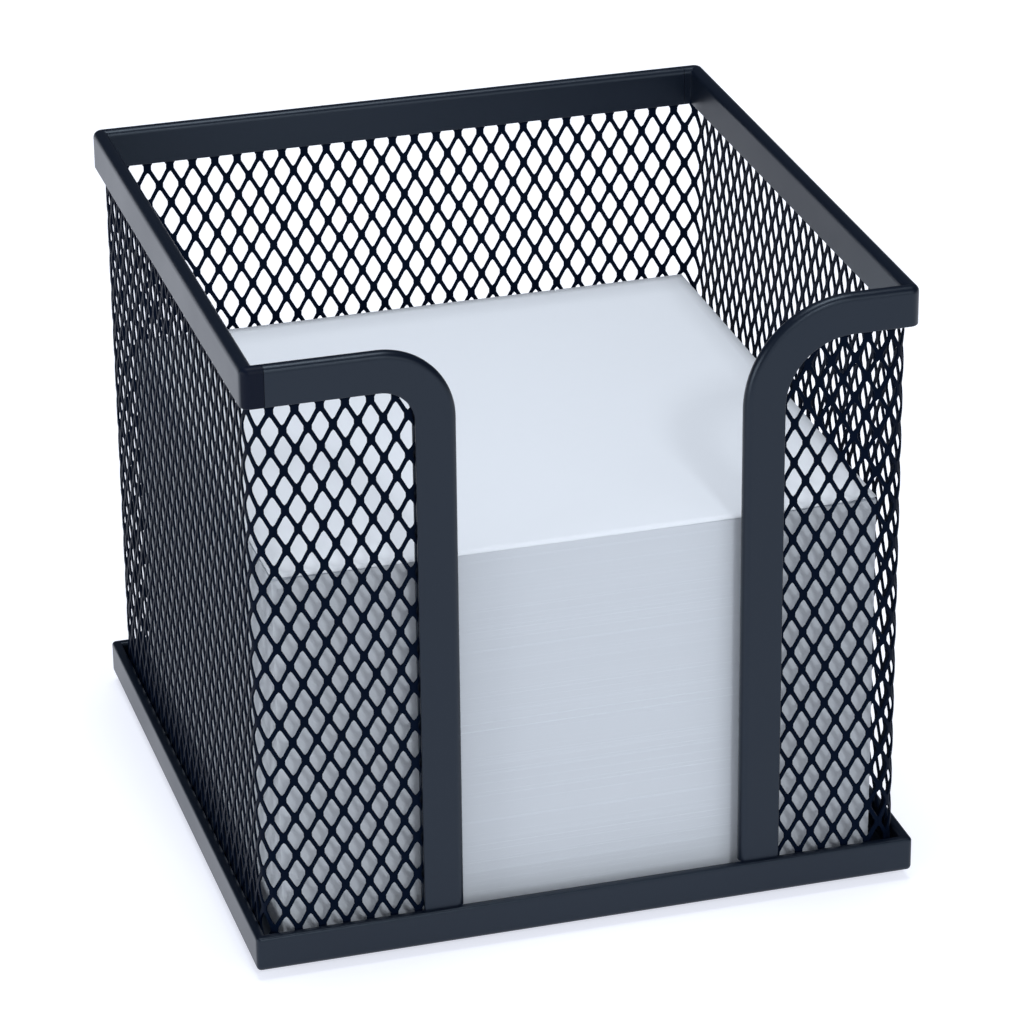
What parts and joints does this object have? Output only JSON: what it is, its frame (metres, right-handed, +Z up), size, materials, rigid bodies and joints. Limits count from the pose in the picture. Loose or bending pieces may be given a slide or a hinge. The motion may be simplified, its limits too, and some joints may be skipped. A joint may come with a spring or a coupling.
{
  "type": "mesh memo box",
  "caption": "Square open-topped memo box of black expanded-metal mesh on a folded steel tray, with a channel rim, a finger cut-out in front and a block of loose white notes inside.",
  "frame": {"origin": "centre of the footprint, on the table under the feet", "axes": "+Z up; the finger cut-out faces -Y; +X to the right as seen from the front"},
  "size_m": [0.1, 0.1, 0.095],
  "materials": {
    "sheet_steel": "satin black powder coat on sheet steel",
    "mesh_steel": "satin black powder coat on expanded steel",
    "foot_pad": "matt black",
    "note_paper": "uncoated white note paper"
  },
  "bodies": {
    "box": {"base_tray": "sheet_steel", "front_left_foot": "foot_pad", "front_right_foot": "foot_pad", "rear_left_foot": "foot_pad", "rear_right_foot": "foot_pad", "rear_mesh": "mesh_steel", "left_mesh": "mesh_steel", "right_mesh": "mesh_steel", "front_left_mesh": "mesh_steel", "front_right_mesh": "mesh_steel", "front_left_mesh_bend": "mesh_steel", "front_right_mesh_bend": "mesh_steel", "rear_left_mesh_bend": "mesh_steel", "rear_right_mesh_bend": "mesh_steel", "rear_rim": "sheet_steel", "left_rim": "sheet_steel", "right_rim": "sheet_steel", "front_left_rim": "sheet_steel", "front_right_rim": "sheet_steel"},
    "notes": {"note_stack": "note_paper"},
    "top_note": {"top_sheet": "note_paper"}
  },
  "joints": [
    {"name": "notes_lift", "type": "slide", "parent": "box", "child": "notes", "axis": [0, 0, 1], "range_m": [0, 0.1]},
    {"name": "top_note_lift", "type": "slide", "parent": "notes", "child": "top_note", "axis": [0, 0, 1], "range_m": [0, 0.05]}
  ]
}
